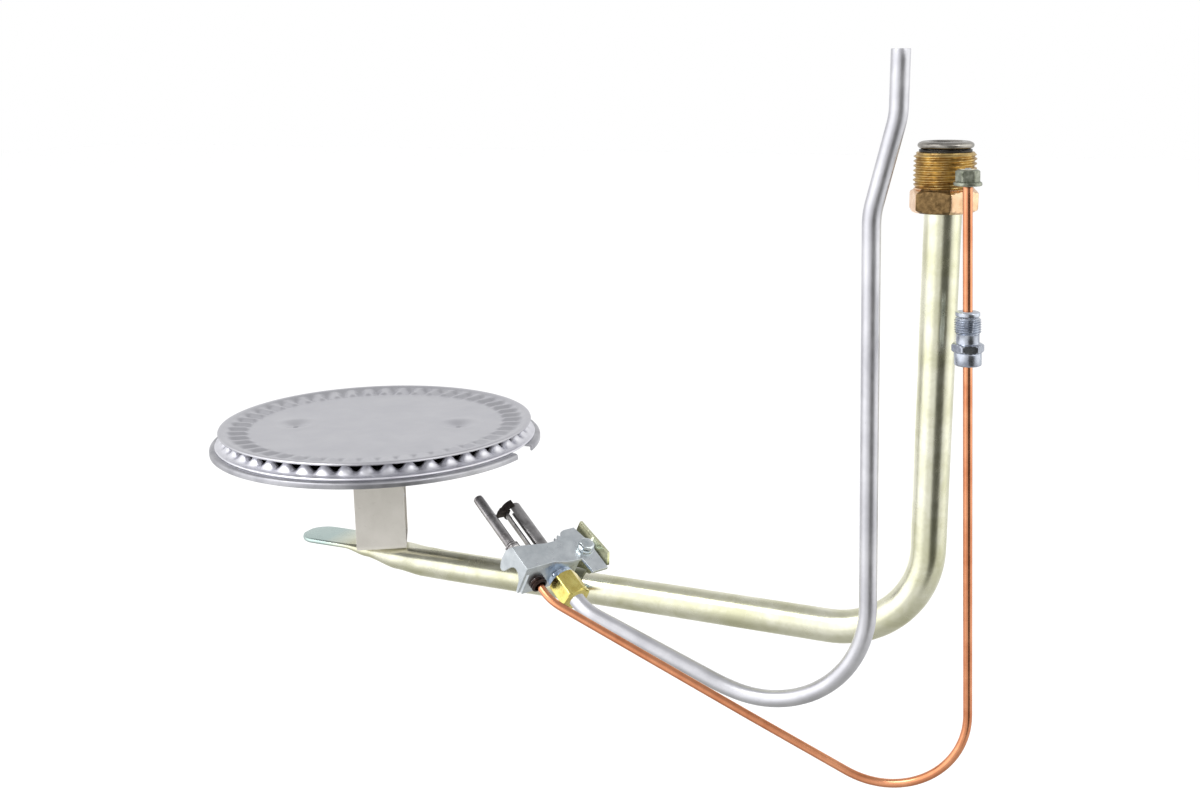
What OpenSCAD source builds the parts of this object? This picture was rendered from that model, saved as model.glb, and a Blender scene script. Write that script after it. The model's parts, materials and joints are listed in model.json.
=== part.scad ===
// Gas water-heater burner assembly: pancake burner on a strap, bent manifold tube,
// pilot burner with its supply tube, and a thermocouple with its copper lead.
// Millimetres. The origin is the centre of the manifold nut's front face, +Z runs up
// the riser, and +X points from the burner to the riser.

/* [Manifold] */
// Outer diameter of the manifold tube (half-inch tube)
tube_d = 12.7; // [12:0.1:13.4]
// Wall of the manifold tube
tube_wall = 0.9; // [0.7:0.1:1.1]
// Distance from the burner's axis to the riser's axis
reach = 235; // [230:1:240]
// Height of the nut's front face above the horizontal run
riser_h = 177; // [174:0.5:182]
// Centre-line radius of the bend
bend_r = 36; // [32:1:40]
// Overall diameter of the sealing bead at the tube's end
bead_d = 18.8; // [18:0.1:19.4]
// Length of the flat locating tongue beyond the burner's axis
tongue_reach = 40; // [38:1:52]
// Width of the flattened tube
tongue_w = 18.6; // [16:0.2:19.6]

/* [Manifold nut] */
// Crest diameter of the nut's outside thread
nut_thread_d = 21; // [20.4:0.1:22]
// Length of the threaded stretch
nut_thread_len = 12.4; // [10:0.2:14]
// Width of the hexagon across its flats
nut_hex_af = 21; // [20:0.5:22.5]
// Height of the hexagon
nut_hex_h = 7.8; // [6:0.2:9]

/* [Burner] */
// Diameter of the top plate at its lip
lip_d = 131; // [128:1:132]
// Diameter of the bottom plate at its rim
rim_d = 134; // [132:0.5:135]
// Diameter of the baffle plate
baffle_d = 139; // [137:1:141]
// Number of burner ports round the rim
port_count = 48; // [36:2:52]
// Sheet thickness of the burner plates
plate_t = 0.9; // [0.7:0.1:1]
// Height of the burner's lip above the manifold's horizontal run
burner_h = 61; // [60:0.5:62]
// Turn of the strap about the burner's axis
strap_turn = 31; // [22:1:36]
// Turn of the line through the two rivets that hold the plates apart
rivet_turn = 22; // [0:1:90]
// Distance of each rivet from the burner's axis
rivet_reach = 35; // [33:1:40]

/* [Strap] */
// Width of the strap that carries the burner
strap_w = 21; // [18:0.5:24]
// Distance between the outer faces of the strap's legs
strap_span = 24; // [23.4:0.2:27]
// Sheet thickness of the strap
strap_t = 1.2; // [1:0.1:1.4]

/* [Pilot] */
// Turn of the pilot's axis away from the manifold's run
pilot_yaw = 27; // [24:1:30]
// Upward tilt of the pilot's axis
pilot_pitch = 31; // [28:1:33]
// Sheet thickness of the pilot's bracket and support
bracket_t = 1.2; // [1:0.1:1.4]
// Outer diameter of the pilot burner's barrel
barrel_d = 7.9; // [7.5:0.1:8.4]
// Width of the pilot nut across its flats
pilot_nut_af = 11.1; // [10.5:0.1:12]
// Outer diameter of the pilot supply tube (quarter-inch tube)
pilot_tube_d = 6.35; // [6:0.05:6.4]

/* [Thermocouple] */
// Diameter of the thermocouple's sensing tip
probe_d = 4.3; // [4:0.1:4.5]
// Diameter of the copper lead (eighth-inch tube)
lead_d = 3.175; // [3:0.025:3.3]
// Crest diameter of the lead nut's thread
lead_nut_thread_d = 8.73; // [8.4:0.01:8.9]
// Width of the lead nut across its flats
lead_nut_af = 9.5; // [9.4:0.1:10.5]

/* [Hidden] */
$fn = 96;

// Running clearance, on the radius, of a part that slides or turns on a tube
run_gap = 0.06;
// Gap between faces of different pieces that move past each other
face_gap = 0.2;

// Manifold
tube_r = tube_d / 2;
run_z = -riser_h;
bead_r = bead_d / 2;
bead_h = 2.6;
bead_top = 3.6;
washer_h = 0.6;
nut_bottom = -nut_thread_len - nut_hex_h;
tongue_t = 2.2;
// Level of the flattened tube's top face
flat_z = run_z + 6.4;

// Burner: levels are measured from the lip of the top plate
lip_z = run_z + burner_h;
lip_r = lip_d / 2;
rim_r = rim_d / 2;
baffle_r = baffle_d / 2;
baffle_hole_r = 52.5;
baffle_rise = -6.7;
baffle_flange_h = 1.7;
pan_z = -13;
pan_hole_r = 10;
venturi_r = 9.7;
venturi_t = 0.8;
venturi_drop = 22;
orifice_r = 4;
orifice_h = 7;
rivet_r = 1.5;

// Pilot frame: origin on top of the bracket at the screw, +X along the pilot's axis
// towards its tip, +Y towards the front, +Z out of the bracket's top face
pilot_origin = [-135, -5, run_z + 19];
pilot_axis_y = 11;
probe_axis_y = 22;
axis_z = -10;
// The sheet flange that the pilot and the thermocouple pass through
flange_x = -2.5;
flange_drop = 15.5;

// Routes: corners of the two small tubes, rounded with the radii beside them
pilot_route_r = [24, 60, 42, 28, 25];
lead_route_r = [22, 60, 30];
pilot_end_z = 34;
lead_top = [11.5, -20, -9.4];
lead_foot = [22.5, -20, run_z - 65];
lead_nut_top = -52;

// ---------------------------------------------------------------- helpers

function unit(v) = v / norm(v);
function turn_z(p, a) = [p.x * cos(a) - p.y * sin(a), p.x * sin(a) + p.y * cos(a), p.z];
function turn_y(p, a) = [p.x * cos(a) + p.z * sin(a), p.y, -p.x * sin(a) + p.z * cos(a)];
function from_pilot(p) = pilot_origin + turn_z(turn_y(p, -pilot_pitch), 180 - pilot_yaw);
function corner_turn(p, i) = acos(unit(p[i] - p[i - 1]) * unit(p[i + 1] - p[i]));
function corner_len(p, r, i) =
    i == 0 || i == len(p) - 1 ? 0 : r[i - 1] * tan(corner_turn(p, i) / 2);

module place_burner(turn = 0) {
    translate([-reach, 0, lip_z]) rotate([0, 0, turn]) children();
}

module place_pilot() {
    translate(pilot_origin) rotate([0, -pilot_pitch, 180 - pilot_yaw]) children();
}

module place_on_axis(y) {
    place_pilot() translate([0, y, axis_z]) rotate([0, 90, 0]) children();
}

module aim(from, to) {
    v = unit(to - from);
    translate(from) rotate([0, acos(v.z), atan2(v.y, v.x)]) children();
}

module hexagon(across_flats, h) {
    cylinder(h = h, r = across_flats / sqrt(3), $fn = 6);
}

module ring(outer_r, inner_r, h) {
    difference() {
        cylinder(h = h, r = outer_r);
        translate([0, 0, -1]) cylinder(h = h + 2, r = inner_r);
    }
}

// A solid round bar along a route, with its corners rounded. The straights are a hair
// thinner than the bends and reach a little way into them.
module bar(p, r, bar_r) {
    hair = 0.012;
    lap = 0.5;
    last = len(p) - 1;
    for (i = [0 : last - 1]) {
        v = unit(p[i + 1] - p[i]);
        a = p[i] + v * (corner_len(p, r, i) - (i > 0 ? lap : 0));
        b = p[i + 1] - v * (corner_len(p, r, i + 1) - (i < last - 1 ? lap : 0));
        aim(a, b) cylinder(h = norm(b - a), r = bar_r - hair);
    }
    for (i = [1 : len(p) - 2]) {
        v = unit(p[i] - p[i - 1]);
        start = p[i] - v * corner_len(p, r, i);
        w = unit(cross(v, unit(p[i + 1] - p[i])));
        u = cross(v, w);
        c = start - u * r[i - 1];
        multmatrix([[u.x, v.x, w.x, c.x], [u.y, v.y, w.y, c.y], [u.z, v.z, w.z, c.z]])
            rotate_extrude(angle = corner_turn(p, i))
                translate([r[i - 1], 0]) circle(r = bar_r);
    }
}

// A round tube along a route
module tube(p, r, outer_r, inner_r) {
    difference() {
        bar(p, r, outer_r);
        bar(p, r, inner_r);
    }
}

// A thin slice of the flattening tube, with rounded ends
module flat_slice(x, width, low, high) {
    t = high - low;
    translate([x, 0, low]) rotate([90, 0, 90])
        linear_extrude(0.05)
            union() {
                translate([t / 2 - width / 2, 0]) square([width - t, t]);
                for (s = [-1, 1])
                    translate([s * (width - t) / 2, t / 2]) circle(d = t, $fn = 32);
            }
}

// ---------------------------------------------------------------- manifold

manifold_route = [
    [0, 0, bead_top], [0, 0, run_z], [-reach + 32, 0, run_z]
];

// The stretch where the tube is crushed flat, first under the burner, then to a tongue
module flattening(shrink) {
    under = [-reach + 10, 16, run_z - 3.6 + shrink, flat_z - shrink];
    hull() {
        translate([-reach + 32, 0, run_z]) rotate([0, -90, 0])
            cylinder(h = 0.05, r = tube_r - shrink, $fn = 32);
        flat_slice(under[0], under[1] - 2 * shrink, under[2], under[3]);
    }
    hull() {
        flat_slice(under[0], under[1] - 2 * shrink, under[2], under[3]);
        flat_slice(-reach - 14, tongue_w - 2 * shrink,
            flat_z - tongue_t + shrink * 0.4, flat_z - shrink * 0.4);
    }
}

module manifold_tube() color([0.80, 0.78, 0.60]) {
    difference() {
        union() {
            bar(manifold_route, [bend_r], tube_r);
            flattening(0);
            translate([0, 0, bead_top - bead_h])
                rotate_extrude() {
                    translate([tube_r - 0.5, 0]) square([bead_r - bead_h / 2 - tube_r + 0.5, bead_h]);
                    translate([bead_r - bead_h / 2, bead_h / 2]) circle(r = bead_h / 2, $fn = 48);
                }
        }
        bar(manifold_route, [bend_r], tube_r - tube_wall);
        translate([0, 0, bead_top - 1]) cylinder(h = 2, r = tube_r - tube_wall);
        flattening(tube_wall);
        translate([-reach, 0, flat_z - 2]) cylinder(h = 4, r = orifice_r - 0.98);
    }
    // The pressed-flat tongue past the crimp
    translate([-reach, 0, flat_z - tongue_t])
        linear_extrude(tongue_t) polygon([
            [-13.98, -tongue_w / 2], [6 - tongue_reach, -tongue_w / 2],
            [3 - tongue_reach, -tongue_w * 0.42], [1 - tongue_reach, -tongue_w * 0.27],
            [-tongue_reach, -tongue_w * 0.1], [-tongue_reach, tongue_w * 0.1],
            [1 - tongue_reach, tongue_w * 0.27], [3 - tongue_reach, tongue_w * 0.42],
            [6 - tongue_reach, tongue_w / 2], [-13.98, tongue_w / 2]
        ]);
}

module manifold_thrust_washer() color([0.25, 0.25, 0.24]) {
    translate([0, 0, face_gap])
        ring(bead_r - 0.6, tube_r + run_gap, washer_h);
}

module manifold_nut() color([0.62, 0.47, 0.22]) {
    difference() {
        union() {
            translate([0, 0, -nut_thread_len]) cylinder(h = nut_thread_len, r = nut_thread_d / 2);
            translate([0, 0, nut_bottom]) hexagon(nut_hex_af, nut_hex_h);
        }
        translate([0, 0, nut_bottom - 1])
            cylinder(h = -nut_bottom + 2, r = tube_r + run_gap);
    }
}

module main_orifice() color([0.72, 0.58, 0.28]) {
    translate([-reach, 0, flat_z]) difference() {
        union() {
            translate([0, 0, -1.6]) cylinder(h = 1.7, r = orifice_r - 1);
            cylinder(h = orifice_h - 2.5, r = orifice_r);
            translate([0, 0, orifice_h - 2.5]) cylinder(h = 2.5, r1 = orifice_r, r2 = 2.4);
        }
        translate([0, 0, -2]) cylinder(h = orifice_h, r = 1.9);
        translate([0, 0, -2]) cylinder(h = orifice_h + 4, r = 1.1);
    }
}

// ---------------------------------------------------------------- burner

module burner_strap() color([0.80, 0.78, 0.75]) {
    low = flat_z - lip_z;
    high = pan_z - plate_t;
    half = strap_span / 2;
    ear = 9;
    place_burner(strap_turn) difference() {
        translate([strap_w / 2, 0, 0]) rotate([90, 0, -90]) linear_extrude(strap_w)
            union() {
                translate([-half, low]) square([strap_span, strap_t]);
                for (s = [-1, 1]) {
                    x = s > 0 ? half - strap_t : -half;
                    translate([x, low]) square([strap_t, high - low]);
                    translate([s > 0 ? half - strap_t : -half - ear + strap_t, high - strap_t])
                        square([ear, strap_t]);
                }
            }
        translate([0, 0, low - 1]) cylinder(h = strap_t + 2, r = orifice_r + 0.3);
    }
}

module venturi_tube() color([0.70, 0.70, 0.70]) {
    top = pan_z + venturi_t;
    mouth = pan_z - venturi_drop;
    mouth_r = 1;
    place_burner() rotate_extrude() {
        translate([venturi_r - venturi_t, mouth + mouth_r])
            square([venturi_t, top - mouth - mouth_r]);
        translate([venturi_r - venturi_t, pan_z]) square([5, venturi_t]);
        translate([venturi_r - venturi_t / 2, mouth + mouth_r]) circle(r = mouth_r, $fn = 24);
    }
}

// Each row of a burner plate: radius, level and height of the corrugation there
top_rows = [
    [52, -1.7, 0], [54.5, -1.5, 1], [61, -1.4, 1], [62.6, -0.2, 0], [lip_r, 0, 0]
];
bottom_rows = [
    [pan_hole_r, pan_z, 0], [39.5, pan_z, 0], [49, -7.5, 0], [53, -4.6, 0.5],
    [60, -4.3, 1.2], [63.5, -3.6, 1.3], [65.5, -5, 0.3], [rim_r, -5.7, 0]
];

function wave(k) = k % 2 == 0 ? 1 : -1;
function row_point(row, k, n, drop) =
    [row[0] * cos(360 * k / n), row[0] * sin(360 * k / n), row[1] + row[2] * wave(k) - drop];

// A plate of stamped sheet. Its upper and lower faces follow the same rows, and the
// middle is closed when the first row has no hole.
module stamped_plate(rows, thickness, hole) {
    n = 2 * port_count;
    m = len(rows);
    side = m * n;
    points = concat(
        [for (row = rows) for (k = [0 : n - 1]) row_point(row, k, n, 0)],
        [for (row = rows) for (k = [0 : n - 1]) row_point(row, k, n, thickness)],
        hole ? [] : [[0, 0, rows[0][1]], [0, 0, rows[0][1] - thickness]]
    );
    function at(s, i, k) = s * side + i * n + k % n;
    faces = concat(
        [for (i = [0 : m - 2]) for (k = [0 : n - 1]) each [
            [at(0, i, k), at(0, i + 1, k + 1), at(0, i + 1, k)],
            [at(0, i, k), at(0, i, k + 1), at(0, i + 1, k + 1)],
            [at(1, i, k), at(1, i + 1, k), at(1, i + 1, k + 1)],
            [at(1, i, k), at(1, i + 1, k + 1), at(1, i, k + 1)]
        ]],
        [for (k = [0 : n - 1]) each [
            [at(0, m - 1, k), at(0, m - 1, k + 1), at(1, m - 1, k + 1)],
            [at(0, m - 1, k), at(1, m - 1, k + 1), at(1, m - 1, k)]
        ]],
        [for (k = [0 : n - 1]) each (hole ? [
            [at(0, 0, k + 1), at(0, 0, k), at(1, 0, k)],
            [at(0, 0, k + 1), at(1, 0, k), at(1, 0, k + 1)]
        ] : [
            [at(0, 0, k + 1), at(0, 0, k), 2 * side],
            [at(1, 0, k), at(1, 0, k + 1), 2 * side + 1]
        ])]
    );
    polyhedron(points = points, faces = faces, convexity = 8);
}

// Puts a child at each of the two rivets
module at_rivets() {
    for (a = [0, 180])
        place_burner(rivet_turn + a) translate([rivet_reach, 0, 0]) children();
}

module burner_top_plate() color([0.74, 0.74, 0.75]) {
    difference() {
        place_burner() stamped_plate(top_rows, plate_t, false);
        at_rivets() translate([0, 0, -5]) cylinder(h = 10, r = rivet_r);
    }
}

module burner_bottom_plate() color([0.80, 0.80, 0.81]) {
    difference() {
        place_burner() stamped_plate(bottom_rows, plate_t, true);
        at_rivets() translate([0, 0, pan_z - 5]) cylinder(h = 10, r = rivet_r);
    }
}

// Shouldered rivets, swaged flush in the top plate, that hold the two plates apart
module burner_rivets() color([0.68, 0.68, 0.69]) {
    shoulder = -plate_t + top_rows[0][1] - pan_z;
    at_rivets() {
        translate([0, 0, pan_z]) cylinder(h = shoulder, r = 3);
        translate([0, 0, pan_z - plate_t - 0.5])
            cylinder(h = shoulder + 2 * plate_t + 0.5, r = rivet_r - 0.02);
        translate([0, 0, pan_z - plate_t - 1.1]) cylinder(h = 1.1, r = 2.8);
    }
}

module baffle_plate() color([0.62, 0.62, 0.64]) {
    notch_w = 14;
    notch_y = 4.3;
    translate([-reach, 0, lip_z + baffle_rise]) difference() {
        union() {
            translate([0, 0, -plate_t]) ring(baffle_r, baffle_hole_r, plate_t);
            translate([0, 0, -baffle_flange_h - plate_t / 2])
                ring(baffle_r, baffle_r - plate_t, baffle_flange_h);
        }
        translate([61, notch_y - notch_w / 2, -5]) cube([20, notch_w, 10]);
    }
}

// ---------------------------------------------------------------- pilot

module pilot_support() color([0.76, 0.75, 0.56]) {
    web_y = -3.5;
    saddle_len = 11;
    saddle_x = pilot_origin.x - 13;
    difference() {
        union() {
            // Upright web, whose top edge stands past the bracket
            place_pilot() translate([0, web_y, 0]) rotate([90, 0, 0])
                linear_extrude(bracket_t)
                    polygon([[11, -2.4], [11, 3], [-8.5, 4.8], [-11, 0], [-7, -5],
                        [-4.5, -12], [-3, -26], [8, -26]]);
            // Platform under the bracket
            place_pilot() translate([-9, web_y - 0.4, -2 * bracket_t])
                cube([17, 6.6, bracket_t]);
            translate([saddle_x, 0, run_z]) rotate([0, 90, 0])
                cylinder(h = saddle_len, r = tube_r + bracket_t);
        }
        // The saddle fits over the upper half of the manifold
        translate([pilot_origin.x - 40, 0, run_z]) rotate([0, 90, 0])
            cylinder(h = 80, r = tube_r + 0.02);
        translate([pilot_origin.x - 40, -20, run_z - 60]) cube([80, 40, 60]);
        place_pilot() translate([0, 0, -8]) cylinder(h = 8, r = 1.5);
    }
}

// Outline of the bracket's top, seen from above
bracket_outline = [
    [flange_x, 30], [9.5, 30], [9.5, 27], [7.2, 15], [7.2, 10.5], [8.6, 9.9], [7.4, 8.8],
    [9.6, 7.8], [8.4, 6.6], [10.6, 5.4], [11.2, 3.7], [11.2, -1.5], [3, -3.4], [-12, -3.4],
    [-12, 4], [-4.7, 4.5], [-4.2, 12], [flange_x, 17.3]
];
// Outline of the left flange, seen from the side: a rounded tab, an arch and a foot
left_flange_outline = [
    [flange_x, 0], [9.5, 0], [11.8, -4], [12.3, -8.5], [12.1, -11.5], [11.3, -13.8],
    [9.9, -14], [8.5, -12.8], [6.4, -8.6], [4.5, -6.4], [3, -5.9], [1.3, -6.4],
    [-0.6, -9], [-1.4, -14], [flange_x, -14]
];

module pilot_bracket() color([0.70, 0.74, 0.75]) {
    place_pilot() difference() {
        union() {
            translate([0, 0, -bracket_t]) linear_extrude(bracket_t) polygon(bracket_outline);
            translate([0, 30, 0]) rotate([90, 0, 0])
                linear_extrude(bracket_t) polygon(left_flange_outline);
            // Front flange, parted from the left flange by a slit
            translate([flange_x, 17.2, -4]) cube([bracket_t, 12.8, 4]);
            translate([flange_x, 3, -flange_drop]) cube([bracket_t, 24.6, flange_drop - bracket_t + 0.4]);
        }
        translate([flange_x - 1, probe_axis_y, axis_z]) rotate([0, 90, 0])
            cylinder(h = 4, r = 3.1);
        translate([flange_x - 1, pilot_axis_y, axis_z]) rotate([0, 90, 0])
            cylinder(h = 4, r = 3.15);
        translate([0, 0, -4]) cylinder(h = 6, r = 1.5);
    }
}

module bracket_screw() color([0.76, 0.78, 0.78]) {
    place_pilot() {
        translate([0, 0, 0.8]) hexagon(5.5, 2.2);
        cylinder(h = 0.8, r = 3.6);
        translate([0, 0, -6]) cylinder(h = 6.1, r = 1.48);
    }
}

module pilot_burner_barrel() color([0.52, 0.52, 0.53]) {
    barrel_r = barrel_d / 2;
    back = flange_x + bracket_t;
    length = 35.5 - back;
    place_on_axis(pilot_axis_y) translate([0, 0, back]) difference() {
        cylinder(h = length, r = barrel_r);
        translate([0, 0, 1]) cylinder(h = length, r = barrel_r - 0.7);
        translate([0, 0, -1]) cylinder(h = 4, r = 3.15);
        // The rolled sheet stays open along its upper front side
        translate([-barrel_r - 1, 0.4, 12]) cube([barrel_r + 1, 2.4, length - 15]);
    }
}

module pilot_hood() color([0.12, 0.11, 0.11]) {
    hood_r = barrel_d / 2 + 0.6;
    place_on_axis(pilot_axis_y) {
        difference() {
            translate([0, 0, 33.4]) cylinder(h = 3.6, r = hood_r);
            translate([0, 0, 32]) cylinder(h = 4.2, r = barrel_d / 2 + 0.02);
            translate([-0.5, -2, 32]) cube([hood_r + 1, hood_r + 3, 4.2]);
        }
        // Beak that bends the flame towards the thermocouple
        difference() {
            translate([-1.7, 2.5, 33.4]) cube([3.4, 5.6, 2.6]);
            translate([0, 0, 32]) cylinder(h = 4.2, r = barrel_d / 2 + 0.02);
        }
    }
}

module pilot_fitting() color([0.66, 0.72, 0.80]) {
    place_on_axis(pilot_axis_y) difference() {
        union() {
            translate([0, 0, -4.4]) hexagon(9.5, 4.4 + flange_x);
            translate([0, 0, flange_x]) cylinder(h = 3.5, r = 3.1);
            translate([0, 0, -9]) cylinder(h = 4.7, r = 3.9);
        }
        translate([0, 0, -10]) cylinder(h = 4, r = pilot_tube_d / 2 + 0.03);
        translate([0, 0, -7]) cylinder(h = 4, r = 2);
        translate([0, 0, -4]) cylinder(h = 6, r = 1.4);
    }
}

module pilot_orifice() color([0.75, 0.60, 0.28]) {
    place_on_axis(pilot_axis_y) translate([0, 0, -5.8]) difference() {
        cylinder(h = 2.8, r = 1.98);
        translate([0, 0, -1]) cylinder(h = 6, r = 0.35);
    }
}

module pilot_ferrule() color([0.78, 0.66, 0.30]) {
    place_on_axis(pilot_axis_y) translate([0, 0, -11.4])
        ring(3.75, pilot_tube_d / 2 + 0.02, 2.3);
}

module pilot_nut() color([0.80, 0.68, 0.30]) {
    place_on_axis(pilot_axis_y) difference() {
        translate([0, 0, -15.8]) hexagon(pilot_nut_af, 11);
        translate([0, 0, -17]) cylinder(h = 14, r = pilot_tube_d / 2 + run_gap);
        translate([0, 0, -11.6]) cylinder(h = 8, r = 3.97);
    }
}

pilot_route = [
    from_pilot([-6.2, pilot_axis_y, axis_z]),
    from_pilot([-22, pilot_axis_y, axis_z]),
    [-71, -22, run_z - 21], [-14, -25, run_z - 34], [-18.4, -25, -19],
    [-10.6, -25, 13], [-10.6, -25, pilot_end_z]
];

module pilot_tube() color([0.80, 0.80, 0.81]) {
    tube(pilot_route, pilot_route_r, pilot_tube_d / 2, pilot_tube_d / 2 - 0.8);
}

// ---------------------------------------------------------------- thermocouple

module thermocouple_probe() color([0.50, 0.49, 0.50]) {
    place_on_axis(probe_axis_y) {
        translate([0, 0, 18]) cylinder(h = 26, r = probe_d / 2);
        translate([0, 0, 44]) cylinder(h = 1, r1 = probe_d / 2, r2 = probe_d / 2 - 0.5);
    }
}

module thermocouple_sleeve() color([0.60, 0.60, 0.60]) {
    back = flange_x - 0.5;
    place_on_axis(probe_axis_y) {
        difference() {
            translate([0, 0, back]) cylinder(h = 18 - back, r = 2.4);
            translate([0, 0, back - 1]) cylinder(h = 1.5, r = lead_d / 2 + 0.5);
        }
        translate([0, 0, flange_x + bracket_t + 0.1]) cylinder(h = 1.2, r = 3.6);
        translate([0, 0, 15]) cylinder(h = 2.4, r = 2.9);
    }
}

module thermocouple_clip() color([0.20, 0.14, 0.12]) {
    place_on_axis(probe_axis_y) translate([0, 0, flange_x - 2.5])
        ring(3.4, 2.42, 2.5);
}

lead_route = [
    from_pilot([flange_x - 0.5, probe_axis_y, axis_z]),
    from_pilot([-13, probe_axis_y, axis_z]),
    [-58.7, -26, run_z - 29.4], lead_foot, lead_top
];

module thermocouple_lead() color([0.82, 0.50, 0.36]) {
    bar(lead_route, lead_route_r, lead_d / 2);
}

// Places a child on the lead's straight stretch, at a height below the terminal
lead_axis = unit(lead_top - lead_foot);

module place_on_lead(z) {
    aim(lead_top + lead_axis * (z - lead_top.z) / lead_axis.z, lead_top + lead_axis * 100)
        children();
}

module lead_nut_washer() color([0.62, 0.64, 0.64]) {
    place_on_lead(lead_nut_top) ring(4, lead_d / 2 + run_gap, 1.5);
}

module lead_nut() color([0.62, 0.66, 0.68]) {
    length = 16.2;
    place_on_lead(lead_nut_top - face_gap - length) difference() {
        union() {
            cylinder(h = 4.4, r1 = 4.4, r2 = 4.7);
            translate([0, 0, 4.4]) hexagon(lead_nut_af, 3);
            translate([0, 0, 7.4]) cylinder(h = 3.3, r = 3.8);
            translate([0, 0, 10.6]) cylinder(h = 5.6, r = lead_nut_thread_d / 2);
        }
        translate([0, 0, -1]) cylinder(h = length + 2, r = lead_d / 2 + run_gap);
    }
}

module terminal_seat() color([0.55, 0.56, 0.48]) {
    place_on_lead(lead_top.z) difference() {
        union() {
            cylinder(h = 1.4, r = 4.6);
            translate([0, 0, 1.4]) hexagon(7, 3.8);
        }
        translate([0, 0, 3.4]) cylinder(h = 3, r = 2.3);
    }
}

module terminal_insulator() color([0.85, 0.83, 0.76]) {
    place_on_lead(lead_top.z) translate([0, 0, 3.4]) ring(2.28, 1.2, 1.9);
}

module terminal_contact() color([0.70, 0.70, 0.66]) {
    place_on_lead(lead_top.z) translate([0, 0, 3.4]) {
        cylinder(h = 1.9, r = 1.18);
        translate([0, 0, 1.9]) cylinder(h = 0.4, r1 = 1.18, r2 = 0.7);
    }
}

// ---------------------------------------------------------------- nodes

manifold_tube();
manifold_thrust_washer();
manifold_nut();
main_orifice();
burner_strap();
venturi_tube();
burner_bottom_plate();
burner_top_plate();
burner_rivets();
baffle_plate();
pilot_support();
pilot_bracket();
bracket_screw();
pilot_burner_barrel();
pilot_hood();
pilot_fitting();
pilot_orifice();
pilot_ferrule();
pilot_nut();
pilot_tube();
thermocouple_probe();
thermocouple_sleeve();
thermocouple_clip();
thermocouple_lead();
lead_nut_washer();
lead_nut();
terminal_seat();
terminal_insulator();
terminal_contact();
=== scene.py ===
import json
import math

import bmesh
import bpy
import numpy as np
from mathutils import Matrix, Vector


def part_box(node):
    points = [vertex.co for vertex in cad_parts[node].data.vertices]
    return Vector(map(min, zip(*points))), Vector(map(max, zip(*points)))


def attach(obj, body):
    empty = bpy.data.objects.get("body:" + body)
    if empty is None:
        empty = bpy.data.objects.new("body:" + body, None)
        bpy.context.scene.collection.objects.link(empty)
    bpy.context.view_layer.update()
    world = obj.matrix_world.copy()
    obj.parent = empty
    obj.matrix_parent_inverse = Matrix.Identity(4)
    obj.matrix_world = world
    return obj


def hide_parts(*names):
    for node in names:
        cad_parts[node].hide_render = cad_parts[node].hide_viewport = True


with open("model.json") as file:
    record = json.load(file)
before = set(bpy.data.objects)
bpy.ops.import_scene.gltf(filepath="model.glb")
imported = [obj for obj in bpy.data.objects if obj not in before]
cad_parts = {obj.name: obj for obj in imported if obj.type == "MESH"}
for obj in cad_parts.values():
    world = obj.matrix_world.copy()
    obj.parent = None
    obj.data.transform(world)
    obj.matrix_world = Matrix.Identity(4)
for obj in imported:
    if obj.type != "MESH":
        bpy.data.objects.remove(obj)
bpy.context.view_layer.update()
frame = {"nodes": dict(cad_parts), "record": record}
record = frame["record"]
MM = 0.001
JOINTS = {j["name"]: j for j in record["behaviour"]["joints"]}


# ------------------------------------------------------------------ anchors, in mm

def middle(node):
    """The centre of a node's box."""
    lo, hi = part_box(node)
    return (np.array(lo) + np.array(hi)) / 2 / MM


def low(node):
    return np.array(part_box(node)[0]) / MM


def high(node):
    return np.array(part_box(node)[1]) / MM


def unit(v):
    """A vector of length 1."""
    v = np.asarray(v, float)
    return v / np.linalg.norm(v)


BURNER = middle("burner_top_plate")
BURNER[2] = high("burner_top_plate")[2]
RUN_Z = BURNER[2] - 61.0    # middle line of the manifold's horizontal run
REACH = -BURNER[0]
FLAT_Z = RUN_Z + 6.4    # top of the crushed end, which carries the burner
TUBE_R, TUBE_BORE = 6.35, 5.45
SUPPLY_R, SUPPLY_BORE = 3.175, 2.375
LEAD_R = 1.5875
TONGUE_REACH, TONGUE_HALF = 40, 9.3

# Pilot frame: X along the pilot's axis to its tip, Z out of the bracket's top face
pilot_axis = unit(JOINTS["pilot_nut_spin"]["axis"])
side = unit(np.cross(pilot_axis, (0, 0, 1)))
side = side if side[1] < 0 else -side
up = np.cross(pilot_axis, side)
PILOT = np.column_stack([pilot_axis, side, up])
PILOT_ORIGIN = np.array(JOINTS["pilot_nut_spin"]["pos_m"]) / MM - PILOT @ np.array([-10, 11, -10])
PY, TY, AZ = 11.0, 22.0, -10.0    # the pilot's and the thermocouple's axes in that frame


def in_pilot(p):
    """A point given in the pilot's frame."""
    return PILOT_ORIGIN + PILOT @ np.asarray(p, float)


def along(origin, axis, ref=(0, 0, 1)):
    """A matrix whose Z is the axis, for turned pieces."""
    z = unit(axis)
    x = unit(np.cross(ref, z)) if abs(np.dot(ref, z)) < 0.99 else np.array([1.0, 0, 0])
    y = np.cross(z, x)
    m = np.eye(4)
    m[:3, 0], m[:3, 1], m[:3, 2], m[:3, 3] = x, y, z, origin
    return m


LEAD_AXIS = unit(JOINTS["lead_nut_spin"]["axis"])
LEAD_POS = np.array(JOINTS["lead_nut_spin"]["pos_m"]) / MM


def on_lead(z):
    """The point of the lead's straight end at a height."""
    return LEAD_POS + LEAD_AXIS * (z - LEAD_POS[2]) / LEAD_AXIS[2]


# ------------------------------------------------------------------ mesh helpers

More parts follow.
